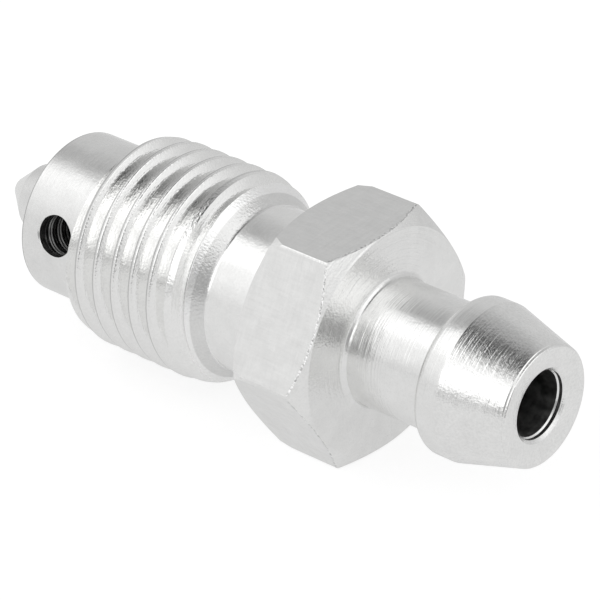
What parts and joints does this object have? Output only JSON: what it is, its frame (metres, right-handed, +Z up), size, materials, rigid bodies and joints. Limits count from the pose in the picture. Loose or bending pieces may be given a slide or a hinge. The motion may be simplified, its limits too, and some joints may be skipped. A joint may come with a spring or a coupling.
{
  "type": "bleeder screw",
  "caption": "Turned steel bleeder screw with a hose barb, wrench hexagon, fine thread, cross-drilled nose and conical sealing tip.",
  "frame": {"origin": "on the ground below the middle of the length, where the screw lies on one hexagon flat and its thread", "axes": "+X along the screw towards the hose end, raised 1.8 degrees by the way it rests, +Z up, the bleed port on the -Y side"},
  "size_m": [0.0292, 0.0116, 0.0101],
  "materials": {
    "zinc_plated_steel": "bright zinc plate over fine turning marks"
  },
  "bodies": {
    "root": {"bleeder_screw": "zinc_plated_steel"}
  },
  "joints": []
}
